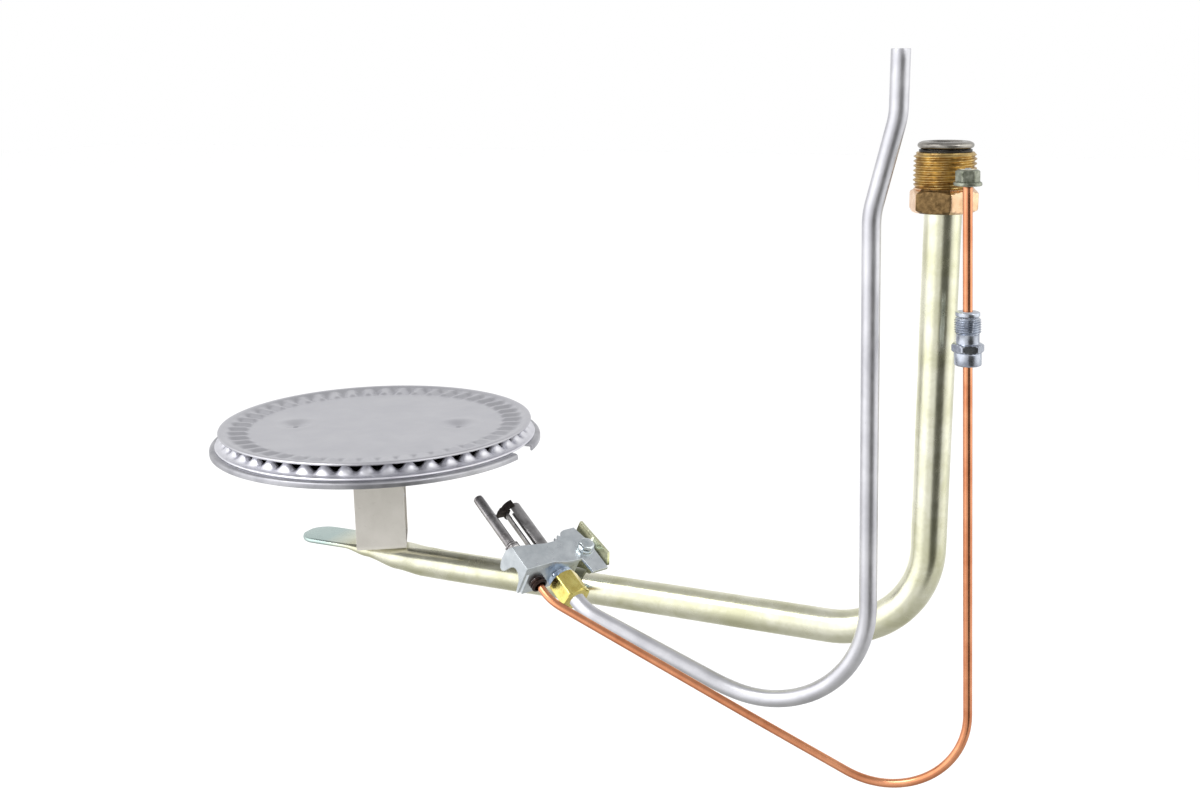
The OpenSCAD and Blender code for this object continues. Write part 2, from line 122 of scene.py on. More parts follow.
def build(name, verts, faces, mats, body, nodes=(), sharp=38, uv=None, index=None):
    """Makes a piece from points in mm, shades it, and puts it in the frame."""
    me = bpy.data.meshes.new(name)
    me.from_pydata((np.asarray(verts, float) * MM).tolist(), [], [list(map(int, f)) for f in faces])
    if uv is not None:
        layer = me.uv_layers.new(name="UVMap")
        for loop in me.loops:
            layer.data[loop.index].uv = uv[loop.vertex_index]
    for m in mats:
        me.materials.append(m)
    if index is not None:
        for poly, i in zip(me.polygons, index):
            poly.material_index = i
    bm = bmesh.new()
    bm.from_mesh(me)
    bmesh.ops.recalc_face_normals(bm, faces=bm.faces)
    bm.to_mesh(me)
    bm.free()
    me.shade_smooth()
    me.set_sharp_from_angle(angle=math.radians(sharp))
    o = bpy.data.objects.new(name, me)
    bpy.context.collection.objects.link(o)
    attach(o, body)
    if nodes:
        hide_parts(*nodes)
    return o


def bevel(o, width=0.2, segments=2, angle=35):
    b = o.modifiers.new("edges", "BEVEL")
    b.width = width * MM
    b.segments = segments
    b.limit_method = "ANGLE"
    b.angle_limit = math.radians(angle)
    b.harden_normals = True
    return o


def eased(node, mat, body, width=0.2, name=None, segments=2, angle=35):
    """A copy of a CAD node with its sharp edges eased, which stands for the node."""
    src = frame["nodes"][node]
    bm = bmesh.new()
    bm.from_mesh(src.data)
    bmesh.ops.remove_doubles(bm, verts=bm.verts, dist=2e-6)
    bmesh.ops.dissolve_limit(bm, angle_limit=math.radians(0.5), verts=bm.verts, edges=bm.edges)
    me = bpy.data.meshes.new(name or node + "_eased")
    bm.to_mesh(me)
    bm.free()
    me.materials.clear()
    me.materials.append(mat)
    for p in me.polygons:
        p.material_index = 0
    me.shade_smooth()
    me.set_sharp_from_angle(angle=math.radians(angle))
    o = bpy.data.objects.new(name or node + "_eased", me)
    bpy.context.collection.objects.link(o)
    bevel(o, width, segments, angle)
    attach(o, body)
    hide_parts(node)
    return o


def unreflected(piece):
    """Keeps a piece out of its neighbours' reflections."""
    piece.visible_glossy = False


def paint(node, mat):
    """Gives a CAD node that is shown as it is its material."""
    for s in frame["nodes"][node].material_slots:
        s.material = mat


def grid_faces(rows, cols, closed=True, start=0):
    """Quads between rows of points, closed round or open."""
    f = []
    for i in range(rows - 1):
        for j in range(cols if closed else cols - 1):
            k = (j + 1) % cols
            f.append((start + i * cols + j, start + i * cols + k,
                      start + (i + 1) * cols + k, start + (i + 1) * cols + j))
    return f


def fillet(points, radii, step=2.5):
    """A route's corners rounded, as a dense list of points."""
    p = [np.asarray(q, float) for q in points]
    out = [p[0]]
    for i in range(1, len(p) - 1):
        a, b = unit(p[i - 1] - p[i]), unit(p[i + 1] - p[i])
        turn = math.pi - math.acos(np.clip(a @ b, -1, 1))
        r = radii[i - 1]
        t = r * math.tan(turn / 2)
        centre = p[i] + unit(a + b) * r / math.cos(turn / 2)
        s = p[i] + a * t
        u, w = unit(s - centre), -a
        n = max(6, int(turn / math.radians(3.5)))
        for k in range(n + 1):
            x = turn * k / n
            out.append(centre + r * (u * math.cos(x) + w * math.sin(x)))
    out.append(p[-1])
    dense = [out[0]]
    for q in out[1:]:
        gap = np.linalg.norm(q - dense[-1])
        if gap < 1e-6:
            continue
        n = max(1, int(gap / step))
        first_q = dense[-1]
        for k in range(1, n + 1):
            dense.append(first_q + (q - first_q) * k / n)
    return np.array(dense)


def frames(path):
    """Tangents and two side directions carried along a path without twist."""
    t = np.gradient(path, axis=0)
    t /= np.linalg.norm(t, axis=1)[:, None]
    ref = np.array([0, 1.0, 0]) if abs(t[0][1]) < 0.9 else np.array([1.0, 0, 0])
    a = unit(ref - t[0] * (ref @ t[0]))
    sides = [a]
    for i in range(1, len(path)):
        a = a - t[i] * (a @ t[i])
        a /= np.linalg.norm(a)
        sides.append(a)
    sides = np.array(sides)
    return t, sides, np.cross(t, sides)


def swept_tube(name, path, outer, mat, body, nodes, inner=None, n=40, ease=0.25):
    """A round tube or bar along a path, with eased ends."""
    t, a, b = frames(path)
    length = np.concatenate([[0], np.cumsum(np.linalg.norm(np.diff(path, axis=0), axis=1))])
    ang = np.linspace(0, 2 * np.pi, n, endpoint=False)
    ca, sa = np.cos(ang), np.sin(ang)
    verts, uv, rows = [], [], 0

    def ring(i, r, shift=0.0):
        nonlocal rows
        c = path[i] + t[i] * shift
        verts.extend(c + a[i] * (ca[k] * r) + b[i] * (sa[k] * r) for k in range(n))
        uv.extend((length[i] * MM * 10, k / n) for k in range(n))
        rows += 1

    last = len(path) - 1
    ring(0, outer - ease)
    ring(0, outer - ease * 0.3, ease * 0.3)
    ring(0, outer, ease)
    for i in range(1, last):
        ring(i, outer)
    ring(last, outer, -ease)
    ring(last, outer - ease * 0.3, -ease * 0.3)
    ring(last, outer - ease)
    outer_rows = rows
    faces = grid_faces(rows, n)
    if inner:
        for i in range(last, -1, -1):
            ring(i, inner)
        faces += grid_faces(rows - outer_rows, n, start=outer_rows * n)
        faces += grid_faces(2, n, start=(outer_rows - 1) * n)
        e = (rows - 1) * n
        faces += [(j, e + j, e + (j + 1) % n, (j + 1) % n) for j in range(n)]
    else:
        faces.append(tuple(range(n)))
        faces.append(tuple(range((rows - 1) * n, rows * n)))
    return build(name, verts, faces, [mat], body, nodes, uv=uv)


def hexagon(af, corner_cut=0.12, turn=0.0):
    """Radius of a hexagon at an angle, its corners a little blunt."""
    def r(ang):
        x = (ang - turn) % (np.pi / 3) - np.pi / 6
        return np.minimum(af / 2 / np.cos(x), af / math.sqrt(3) - corner_cut)
    return r


def turned(name, rows, bore, place, mats, body, nodes, n=192, sharp=30, index_of=None, close=False):
    """A turned piece: rows of (height, radius or radius function) from bottom to top."""
    ang = np.linspace(0, 2 * np.pi, n, endpoint=False)
    verts = []
    for z, r in rows:
        rr = r(ang) if callable(r) else np.full(n, float(r))
        verts.extend(np.column_stack([rr * np.cos(ang), rr * np.sin(ang), np.full(n, z)]))
    count = len(rows)
    if not close:
        for z in (rows[-1][0], rows[0][0]):
            verts.extend(np.column_stack([bore * np.cos(ang), bore * np.sin(ang), np.full(n, z)]))
        count += 2
    faces = grid_faces(count, n)
    if close:
        faces += [tuple(range(n)), tuple(range((count - 1) * n, count * n))]
    else:
        e = (count - 1) * n
        faces += [(e + j, e + (j + 1) % n, (j + 1) % n, j) for j in range(n)]
    verts = np.array(verts)
    index = None
    if index_of:
        index = [index_of(i // n, (i % n) / n * 360) for i in range(len(faces))]
    p = np.column_stack([verts, np.ones(len(verts))]) @ np.asarray(place).T
    return build(name, p[:, :3], faces, mats, body, nodes, sharp=sharp, index=index)


def thread_rows(z0, z1, crest, root, pitch, per=12, turn=0.0):
    """Rows of a helical thread that fades out at both ends."""
    rows = []
    count = int((z1 - z0) / pitch * per)
    for i in range(count + 1):
        z = z0 + (z1 - z0) * i / count
        limit = min(crest, root - 0.15 + min(z - z0, z1 - z) * 0.9)

        def r(ang, z=z, limit=limit):
            f = ((z - z0) / pitch - (ang + turn) / (2 * np.pi)) % 1.0
            d = np.clip((np.abs(2 * f - 1) - 0.14) / 0.72, 0, 1)
            return np.minimum(root + (crest - root) * d, max(limit, root - 0.3))
        rows.append((z, r))
    return rows


def hex_rows(z0, z1, af, chamfer=0.5, turn=0.0, low_cut=True, high_cut=True, slope=0.58):
    """Rows of a hexagon whose corners are chamfered by a cone at its ends."""
    f = hexagon(af, turn=turn)
    rows = []
    steps = [0, 0.12, 0.3, 0.6, 1.0, 1.5]
    span = z1 - z0
    zs = [z0 + s for s in steps] + [z1 - s for s in reversed(steps)]
    for z in sorted(set(round(v, 4) for v in zs if z0 <= v <= z1)):
        d = min(z - z0 if low_cut else span, z1 - z if high_cut else span)
        lim = af / 2 * 0.985 - chamfer * 0.3 + d / slope

        def r(ang, lim=lim):
            return np.minimum(f(ang), lim)
        rows.append((z, r))
    return rows


# ------------------------------------------------------------------ materials

def ramp(nt, fac, stops, mode="LINEAR"):
    r = nt.nodes.new("ShaderNodeValToRGB")
    r.color_ramp.interpolation = mode
    e = r.color_ramp.elements
    e[0].position, e[0].color = stops[0][0], (*stops[0][1], 1)
    e[1].position, e[1].color = stops[-1][0], (*stops[-1][1], 1)
    for pos, c in stops[1:-1]:
        x = e.new(pos)
        x.color = (*c, 1)
    nt.links.new(fac, r.inputs[0])
    return r.outputs[0]


def noise(nt, vec, scale, detail=3.0, rough=0.5, distort=0.0):
    n = nt.nodes.new("ShaderNodeTexNoise")
    n.inputs["Scale"].default_value = scale
    n.inputs["Detail"].default_value = detail
    n.inputs["Roughness"].default_value = rough
    n.inputs["Distortion"].default_value = distort
    nt.links.new(vec, n.inputs["Vector"])
    return n.outputs[0]


def mapped(nt, vec, scale=(1, 1, 1), rot=(0, 0, 0)):
    m = nt.nodes.new("ShaderNodeMapping")
    m.inputs["Scale"].default_value = scale
    m.inputs["Rotation"].default_value = rot
    nt.links.new(vec, m.inputs["Vector"])
    return m.outputs[0]


def mix(nt, fac, a, b, blend="MIX"):
    m = nt.nodes.new("ShaderNodeMix")
    m.data_type = "RGBA"
    m.blend_type = blend
    if isinstance(fac, float):
        m.inputs[0].default_value = fac
    else:
        nt.links.new(fac, m.inputs[0])
    for sock, v in ((m.inputs[6], a), (m.inputs[7], b)):
        if isinstance(v, tuple):
            sock.default_value = (*v, 1)
        else:
            nt.links.new(v, sock)
    return m.outputs[2]


def span(nt, v, a, b, c, d):
    """Maps a..b to c..d, held at both ends."""
    m = nt.nodes.new("ShaderNodeMapRange")
    m.inputs[1].default_value, m.inputs[2].default_value = a, b
    m.inputs[3].default_value, m.inputs[4].default_value = c, d
    nt.links.new(v, m.inputs[0])
    return m.outputs[0]


def lin(r, g, b):
    """An sRGB colour, 0 to 255, as linear values."""
    return tuple((c / 255 / 12.92) if c / 255 <= 0.04045 else ((c / 255 + 0.055) / 1.055) ** 2.4
                 for c in (r, g, b))


def metal(name, light, dark, rough=(0.2, 0.34), blotch=120.0, grain=900.0, bump=0.04,
          metallic=1.0, spots=None, spot_scale=260.0, spot_cut=(0.70, 0.78), stretch=(1, 1, 1),
          tip=None, shade=None):
    """A procedural metal: cloudy colour, uneven gloss, fine grain and optional dark spots.

    tip tints the manifold's tongue, and a painted shadow darkens the foot of the pilot's support, where the
    bracket shades it.
    """
    m = bpy.data.materials.new(name)
    m.use_nodes = True
    nt = m.node_tree
    p = nt.nodes["Principled BSDF"]
    tc = nt.nodes.new("ShaderNodeTexCoord")
    co = tc.outputs["Object"]
    body = mapped(nt, co, stretch)
    cloud = noise(nt, body, blotch, 4, 0.6, 0.3)
    colour = ramp(nt, cloud, [(0.32, dark), (0.66, light)])
    if spots:
        sp = noise(nt, co, spot_scale, 5, 0.7, 0.4)
        colour = mix(nt, span(nt, sp, spot_cut[0], spot_cut[1], 0.0, 0.85), colour, spots)
    if tip:
        sep = nt.nodes.new("ShaderNodeSeparateXYZ")
        nt.links.new(co, sep.inputs[0])
        colour = mix(nt, span(nt, sep.outputs[0], -0.260, -0.246, 1.0, 0.0), colour, tip)
    # Painted shadow: the colour darkens towards the support's foot, where the bracket shades it.
    if shade:
        rise = nt.nodes.new("ShaderNodeVectorMath")
        rise.operation = "DOT_PRODUCT"
        rise.inputs[1].default_value = tuple(PILOT[:, 2])
        nt.links.new(co, rise.inputs[0])
        foot = float(PILOT[:, 2] @ PILOT_ORIGIN) / 1000
        fade = span(nt, rise.outputs["Value"], foot + shade[1], foot + shade[2], 0.85, 0.0)
        colour = mix(nt, fade, colour, shade[0])
    nt.links.new(colour, p.inputs["Base Color"])
    p.inputs["Metallic"].default_value = metallic
    fine = noise(nt, body, grain, 3, 0.6)
    mixed = noise(nt, body, blotch * 2.3, 3, 0.6)
    nt.links.new(span(nt, mixed, 0.3, 0.7, rough[0], rough[1]), p.inputs["Roughness"])
    bmp = nt.nodes.new("ShaderNodeBump")
    bmp.inputs["Strength"].default_value = bump * 4
    bmp.inputs["Distance"].default_value = 0.0002
    nt.links.new(fine, bmp.inputs["Height"])
    nt.links.new(bmp.outputs[0], p.inputs["Normal"])
    return m


M = {}


def finish(name, *args, **more):
    """Makes a metal and keeps it in M by its name."""
    M[name] = metal(name, *args, **more)


finish("yellow_zinc", lin(244, 243, 222), lin(214, 213, 180), (0.21, 0.29), 70, 700,
       0.03, spots=lin(150, 150, 118), spot_scale=210, spot_cut=(0.72, 0.80),
       tip=lin(188, 207, 202))
# The support's foot carries a painted shadow from the bracket.
finish("yellow_support", lin(242, 243, 212), lin(206, 209, 170), (0.22, 0.36), 160, 900, 0.05,
       shade=(lin(70, 74, 56), 0.0004, 0.0020))
finish("bead_steel", lin(176, 172, 164), lin(128, 124, 118), (0.24, 0.36), 200, 1200, 0.04)
finish("gold_thread", lin(216, 188, 124), lin(158, 126, 78), (0.26, 0.40), 260, 1500, 0.05,
       spots=lin(110, 76, 40), spot_scale=420, spot_cut=(0.6, 0.74))
finish("gold_hex", lin(248, 214, 176), lin(222, 180, 138), (0.24, 0.36), 220, 1500, 0.06)
finish("brown_hex", lin(150, 122, 82), lin(92, 72, 46), (0.42, 0.58), 520, 2400, 0.12,
       spots=lin(190, 168, 120), spot_scale=900, spot_cut=(0.60, 0.74))
finish("nut_brass", lin(246, 232, 142), lin(208, 186, 96), (0.20, 0.34), 240, 1200, 0.05,
       spots=lin(128, 98, 40), spot_scale=500, spot_cut=(0.68, 0.80))
finish("orifice_brass", lin(226, 196, 110), lin(184, 150, 78), (0.2, 0.34), 300, 1500, 0.04)
finish("burner_steel", lin(207, 207, 211), lin(200, 200, 205), (0.34, 0.38), 60, 1500, 0.02)
finish("baffle_steel", lin(190, 190, 194), lin(166, 166, 171), (0.34, 0.48), 90, 1500, 0.05)
# Painted shade: the dark inside of the burner, between its plates.
finish("painted_shade_chamber", lin(64, 62, 62), lin(40, 38, 38), (0.5, 0.7), 120, 1500, 0.05)
finish("rim_steel", lin(240, 240, 245), lin(228, 228, 234), (0.36, 0.44), 120, 1500, 0.03)
finish("strap_steel", lin(222, 218, 210), lin(212, 208, 199), (0.40, 0.55), 90, 1400, 0.03, metallic=0.3,
       spots=lin(190, 184, 173), spot_scale=500, spot_cut=(0.62, 0.80))
finish("blue_zinc", lin(226, 232, 235), lin(204, 211, 215), (0.26, 0.42), 190, 1300, 0.07,
       spots=lin(150, 158, 162), spot_scale=620, spot_cut=(0.66, 0.80))
finish("fitting_zinc", lin(206, 220, 236), lin(150, 170, 196), (0.14, 0.28), 300, 1200, 0.04)
finish("screw_zinc", lin(228, 234, 236), lin(196, 206, 210), (0.12, 0.22), 300, 1200, 0.03)
finish("barrel_steel", lin(178, 176, 176), lin(124, 122, 122), (0.26, 0.44), 150, 1200, 0.06,
       spots=lin(70, 66, 64), spot_scale=420, spot_cut=(0.60, 0.74))
finish("probe_steel", lin(196, 194, 194), lin(142, 138, 138), (0.22, 0.40), 170, 1200, 0.06,
       spots=lin(84, 78, 76), spot_scale=380, spot_cut=(0.60, 0.76))
finish("hood_black", lin(66, 58, 54), lin(30, 26, 25), (0.40, 0.6), 320, 1500, 0.12, metallic=0.6)
finish("clip_dark", lin(64, 44, 38), lin(28, 20, 18), (0.25, 0.42), 320, 1500, 0.06, metallic=0.7)
finish("tube_aluminium", lin(224, 224, 228), lin(200, 200, 205), (0.34, 0.44), 60, 1200, 0.04,
       spots=lin(120, 120, 124), spot_scale=330, spot_cut=(0.72, 0.80))
finish("lead_copper", lin(240, 168, 126), lin(214, 138, 98), (0.16, 0.26), 90, 1200, 0.03,
       spots=lin(150, 86, 60), spot_scale=420, spot_cut=(0.70, 0.80))
finish("lead_nut_zinc", lin(198, 204, 214), lin(150, 156, 168), (0.16, 0.30), 240, 1300, 0.04,
       spots=lin(96, 100, 110), spot_scale=420, spot_cut=(0.66, 0.78))
finish("terminal_zinc", lin(176, 180, 164), lin(118, 122, 106), (0.28, 0.44), 420, 1500, 0.10,
       spots=lin(70, 74, 60), spot_scale=700, spot_cut=(0.56, 0.70))
# Painted shade: dark steel for the shadow under the bead, on the thrust washer, and inside the manifold's
# bore.
finish("painted_shade_steel", lin(70, 66, 62), lin(40, 38, 36), (0.36, 0.5), 300, 1500, 0.05, metallic=0.8)
finish("ceramic", lin(222, 216, 198), lin(198, 190, 170), (0.6, 0.75), 400, 1500, 0.08, metallic=0.0)


# ------------------------------------------------------------------ manifold

def rounded_box_ring(half_w, half_t, n=64):
    """Points of a round-ended slot shape; a circle when both halves are equal."""
    c = min(half_w, half_t)
    pts = []
    for k in range(n):
        x = 2 * math.pi * (k + 0.5) / n
        ox = (half_w - c) * (1 if math.cos(x) > 0 else -1)
        oy = (half_t - c) * (1 if math.sin(x) > 0 else -1)
        pts.append((ox + c * math.cos(x), oy + c * math.sin(x)))
    return np.array(pts)


def smooth_table(x, xs, ys):
    """The value at x, eased between the table's stations."""
    i = int(np.clip(np.searchsorted(xs, x) - 1, 0, len(xs) - 2))
    f = np.clip((x - xs[i]) / (xs[i + 1] - xs[i]), 0, 1)
    f = f * f * (3 - 2 * f)
    return float(ys[i] + (ys[i + 1] - ys[i]) * f)


def manifold():
    """The tube with its bead, one bend and a crushed end, and the bore inside it."""
    n = 72
    path = fillet([(0, 0, 0.8), (0, 0, RUN_Z), (-REACH + 33, 0, RUN_Z)], [36], 3)
    t, a, b = frames(path)
    ring = rounded_box_ring(1, 1, n)
    # bead and mouth, from the mouth's inside up and over
    bead = [(5.45, 3.1), (5.75, 3.5), (6.6, 3.62), (7.9, 3.55), (8.8, 3.2), (9.25, 2.75), (9.4, 2.25),
            (9.25, 1.75), (8.8, 1.32), (8.1, 1.08), (7.2, 1.0), (6.55, 0.98), (6.35, 0.9)]
    # The outside, from the mouth to the tongue; the bead's rows are in step with the tube's first ring
    tube = [c + np.outer(ring[:, 0] * TUBE_R, a[i]) + np.outer(ring[:, 1] * TUBE_R, b[i])
            for i, c in enumerate(path)]
    mouth = tube[0][:, :2] / TUBE_R
    rows = [(np.column_stack([mouth * r, np.full(n, z)]), 1) for r, z in bead]
    rows += [(row, 0) for row in tube]
    # The crush: half-width, top and bottom of the section along x
    xs = [REACH - 33, REACH - 22, REACH - 10, REACH + 4, REACH + 14, REACH + 30]
    hw = [TUBE_R, 6.9, 8.0, 8.9, TONGUE_HALF, TONGUE_HALF]
    tp = [RUN_Z + TUBE_R, RUN_Z + 6.4, RUN_Z + 6.4, FLAT_Z, FLAT_Z, FLAT_Z]
    bt = [RUN_Z - TUBE_R, RUN_Z - 5.9, RUN_Z - 3.6, RUN_Z + 1.2, FLAT_Z - 2.2, FLAT_Z - 2.2]
    tail = list(np.arange(REACH - 31, REACH + 30.5, 1.5))
    tip = REACH + TONGUE_REACH
    tail += [tip - 9 + 9 * math.sin(q) for q in np.linspace(0.05, 1.52, 14)]
    sign_a = a[-1][1]
    for x in tail:
        w = smooth_table(x, xs, hw)
        zt, zb = smooth_table(x, xs, tp), smooth_table(x, xs, bt)
        if x > tip - 9:
            w = TONGUE_HALF * max(math.sqrt(max(1 - ((x - tip + 9) / 9.02) ** 2, 0.0)), 0.06)
            ease = max(0.0, 1 - (tip - x) / 0.9)
            zt, zb = zt - 0.35 * ease, zb + 0.35 * ease
        half = (zt - zb) / 2
        s = rounded_box_ring(max(w, half + 0.01), half, n)
        c = np.array([-x, 0, (zt + zb) / 2])
        up_dir = b[-1] if abs(b[-1][2]) > 0.5 else np.array([0, 0, 1.0])
        rows.append((c + np.outer(s[:, 0], (0, np.sign(sign_a), 0)) + np.outer(s[:, 1], up_dir), 0))
    outer_n = len(rows)
    verts = np.concatenate([r for r, _ in rows])
    faces = grid_faces(outer_n, n)
    index = [rows[i // n][1] for i in range(len(faces))]
    faces.append(tuple(range((outer_n - 1) * n, outer_n * n)))
    index.append(0)
    # The bore, closed where the tube is crushed; its dark steel is painted shade
    start = len(verts)
    inner = [np.column_stack([mouth * TUBE_BORE, np.full(n, bead[0][1])])]
    inner += [c + np.outer(ring[:, 0] * TUBE_BORE, a[i]) + np.outer(ring[:, 1] * TUBE_BORE, b[i])
              for i, c in enumerate(path)]
    verts = np.concatenate([verts, *inner])
    faces += grid_faces(len(inner), n, start=start)
    index += [2] * ((len(inner) - 1) * n)
    e = start + (len(inner) - 1) * n
    faces.append(tuple(range(e, e + n)))
    index.append(2)
    build("manifold_pipe", verts, faces, [M["yellow_zinc"], M["bead_steel"], M["painted_shade_steel"]],
          "assembly", ["manifold_tube"], index=index, sharp=50)


manifold()
# The thrust washer is painted dark for the shadow under the bead.
paint("manifold_thrust_washer", M["painted_shade_steel"])
paint("main_orifice", M["orifice_brass"])
paint("venturi_tube", M["baffle_steel"])

HEX_START = -7.5
HEX_TURN = math.radians(HEX_START)
NUT_CREST, NUT_ROOT, NUT_PITCH = 10.5, 9.62, 1.5875
nut_bottom = low("manifold_nut")[2]
hex_top = nut_bottom + 7.8


def nut_index(row, ang):
    """Thread, bright hexagon, and the one flat in a darker, rougher brown."""
    if row > len_hex:
        return 0
    face = int(((ang - HEX_START) % 360) // 60)
    return 2 if face == 4 else 1


nut_rows = hex_rows(nut_bottom, hex_top, 21, chamfer=1.2, turn=HEX_TURN)
len_hex = len(nut_rows)
nut_rows += [(hex_top + 0.02, 10.2), (hex_top + 0.5, 9.75)]
nut_rows += thread_rows(hex_top + 0.55, 0.0, NUT_CREST, NUT_ROOT, NUT_PITCH)
turned("manifold_inlet_nut", nut_rows, 6.42, np.eye(4), [M["gold_thread"], M["gold_hex"], M["brown_hex"]],
       "inlet_nut", ["manifold_nut"], n=240, index_of=nut_index)


# ------------------------------------------------------------------ burner

def bump_fn(x, a, b, c, d):
    """0 below a, 1 from b to c, 0 above d, with soft shoulders."""
    u = np.clip((x - a) / (b - a), 0, 1)
    v = np.clip((d - x) / (d - c), 0, 1)
    s = np.minimum(u, v)
    return s * s * (3 - 2 * s)


PORTS = 48
SHEET = 0.9
RIVET_R = 35
RIVET_TURN = math.radians(22)


def crest(theta, lean=0.0):
    """The ports' wave round the burner, from -1 to 1, with narrow valleys."""
    phase = PORTS * theta + lean
    return 1 - 2 * ((1 - np.cos(phase)) / 2) ** 1.25


def dimples(x, y):
    """Two round dimples, each with a faint swelling round it."""
    z = np.zeros_like(x)
    for s in (1, -1):
        cx, cy = s * RIVET_R * math.cos(RIVET_TURN), s * RIVET_R * math.sin(RIVET_TURN)
        d = np.hypot(x - cx, y - cy)
        z -= 1.45 * np.exp(-(d / 4.8) ** 2)
        z += 0.22 * np.exp(-((d - 8.0) / 2.6) ** 2)
    return z


def plate(name, radii, height, thickness, mats, node, n_theta, hole, index_of=None):
    """A stamped disc: a height for each radius and angle, an even thickness and a rounded rim."""
    theta = np.linspace(0, 2 * np.pi, n_theta, endpoint=False)
    r, th = np.meshgrid(radii, theta, indexing="ij")
    z = height(r, th)
    x, y = r * np.cos(th), r * np.sin(th)
    topside = np.stack([x, y, z], -1).reshape(-1, 3)
    under = np.stack([x, y, z - thickness], -1).reshape(-1, 3)
    m, n = len(radii), n_theta
    mid = topside[(m - 1) * n:] * 1.0
    mid[:, :2] *= 1 + 0.22 / radii[-1]
    mid[:, 2] -= thickness / 2
    # Rows: the top side outwards, the rim, then the underside inwards
    order = [topside[i * n:(i + 1) * n] for i in range(m)] + [mid] + \
            [under[i * n:(i + 1) * n] for i in range(m - 1, -1, -1)]
    verts = np.concatenate(order)
    rows = len(order)
    faces = grid_faces(rows, n)
    if hole:
        e = (rows - 1) * n
        faces += [(e + j, e + (j + 1) % n, (j + 1) % n, j) for j in range(n)]
    else:
        faces += [tuple(range(n)), tuple(range((rows - 1) * n, rows * n))]
    verts = verts + BURNER
    index = None
    if index_of:
        rings = len(faces) - (0 if hole else 2)
        index = [index_of(np.hypot(*order[i // n][0][:2]), i // n < m) for i in range(rings)]
        if not hole:
            index += [0, 0]
    build(name, verts, faces, mats, "assembly", [node], sharp=50, index=index)


def top_height(r, th):
    """The top plate: flat middle, ring of ridges, rounded rim and the dimples."""
    a = bump_fn(r, 52.3, 55.2, 59.8, 62.9)
    z = np.interp(r, [0, 50, 53, 56, 60, 62.2, 63.2, 64.4, 65.0, 65.5],
                  [-1.75, -1.7, -1.72, -1.6, -1.45, -0.7, -0.12, 0.0, -0.05, -0.22])
    z = z + 0.75 * a * crest(th, 0.35 * (r - 57) / 5)
    return z + dimples(r * np.cos(th), r * np.sin(th)) * (r < 50)


def bottom_height(r, th):
    """The pan: flat floor, cone and teeth at the rim."""
    a = np.interp(r, [49, 53, 58, 61.0, 62.8, 63.8, 64.6, 65.4], [0, 0.4, 1.2, 1.35, 1.3, 0.8, 0.25, 0])
    z = np.interp(r, [10, 39.5, 41.5, 48, 53, 58, 61.0, 62.8, 63.8, 64.6, 65.6, 66.4, 67],
                  [-13, -13, -12.2, -8.0, -4.8, -3.4, -2.95, -2.95, -3.7, -4.5, -5.25, -5.6, -5.75])
    return z + a * crest(th)


radii_top = np.unique(np.concatenate([np.linspace(1.5, 51, 56), np.arange(52, 63.4, 0.55),
                                      [63.8, 64.2, 64.6, 65.0, 65.3, 65.5]]))
plate("burner_top", radii_top, top_height, SHEET, [M["burner_steel"]], "burner_top_plate", PORTS * 12, False)


def pan_index(r, upper):
    """Bright rim, plain pan, and painted shade on the inside between the plates, where light doesn't reach.
    """
    if upper and r < 61.2:
        return 2
    return 1 if r > 59 else 0


radii_low = np.unique(np.concatenate([[10, 20, 30, 38, 39.5, 40.5, 42], np.arange(44, 60, 1.0),
                                      np.arange(60, 66.8, 0.4), [66.8, 67.0]]))
plate("burner_pan", radii_low, bottom_height, SHEET, [M["baffle_steel"], M["rim_steel"], M["painted_shade_chamber"]],
      "burner_bottom_plate", PORTS * 12, True, index_of=pan_index)

# Rivets, flush at the bottom of the dimples
verts, faces = [], []
prof = [(0.05, -14.2), (2.2, -14.15), (2.8, -13.9), (2.8, -13.95), (3.0, -13.0), (3.0, -4.3), (1.5, -4.2),
        (1.5, -3.25), (1.2, -3.05), (0.05, -3.0)]
for s in (0, math.pi):
    c = BURNER + RIVET_R * np.array([math.cos(RIVET_TURN + s), math.sin(RIVET_TURN + s), 0])
    ang = np.linspace(0, 2 * np.pi, 32, endpoint=False)
    start = len(verts)
    for r, z in prof:
        verts.extend(c + np.column_stack([r * np.cos(ang), r * np.sin(ang), np.full(32, z)]))
    faces += grid_faces(len(prof), 32, start=start)
    faces += [tuple(range(start, start + 32)), tuple(range(len(verts) - 32, len(verts)))]
build("plate_rivets", verts, faces, [M["baffle_steel"]], "assembly", ["burner_rivets"])


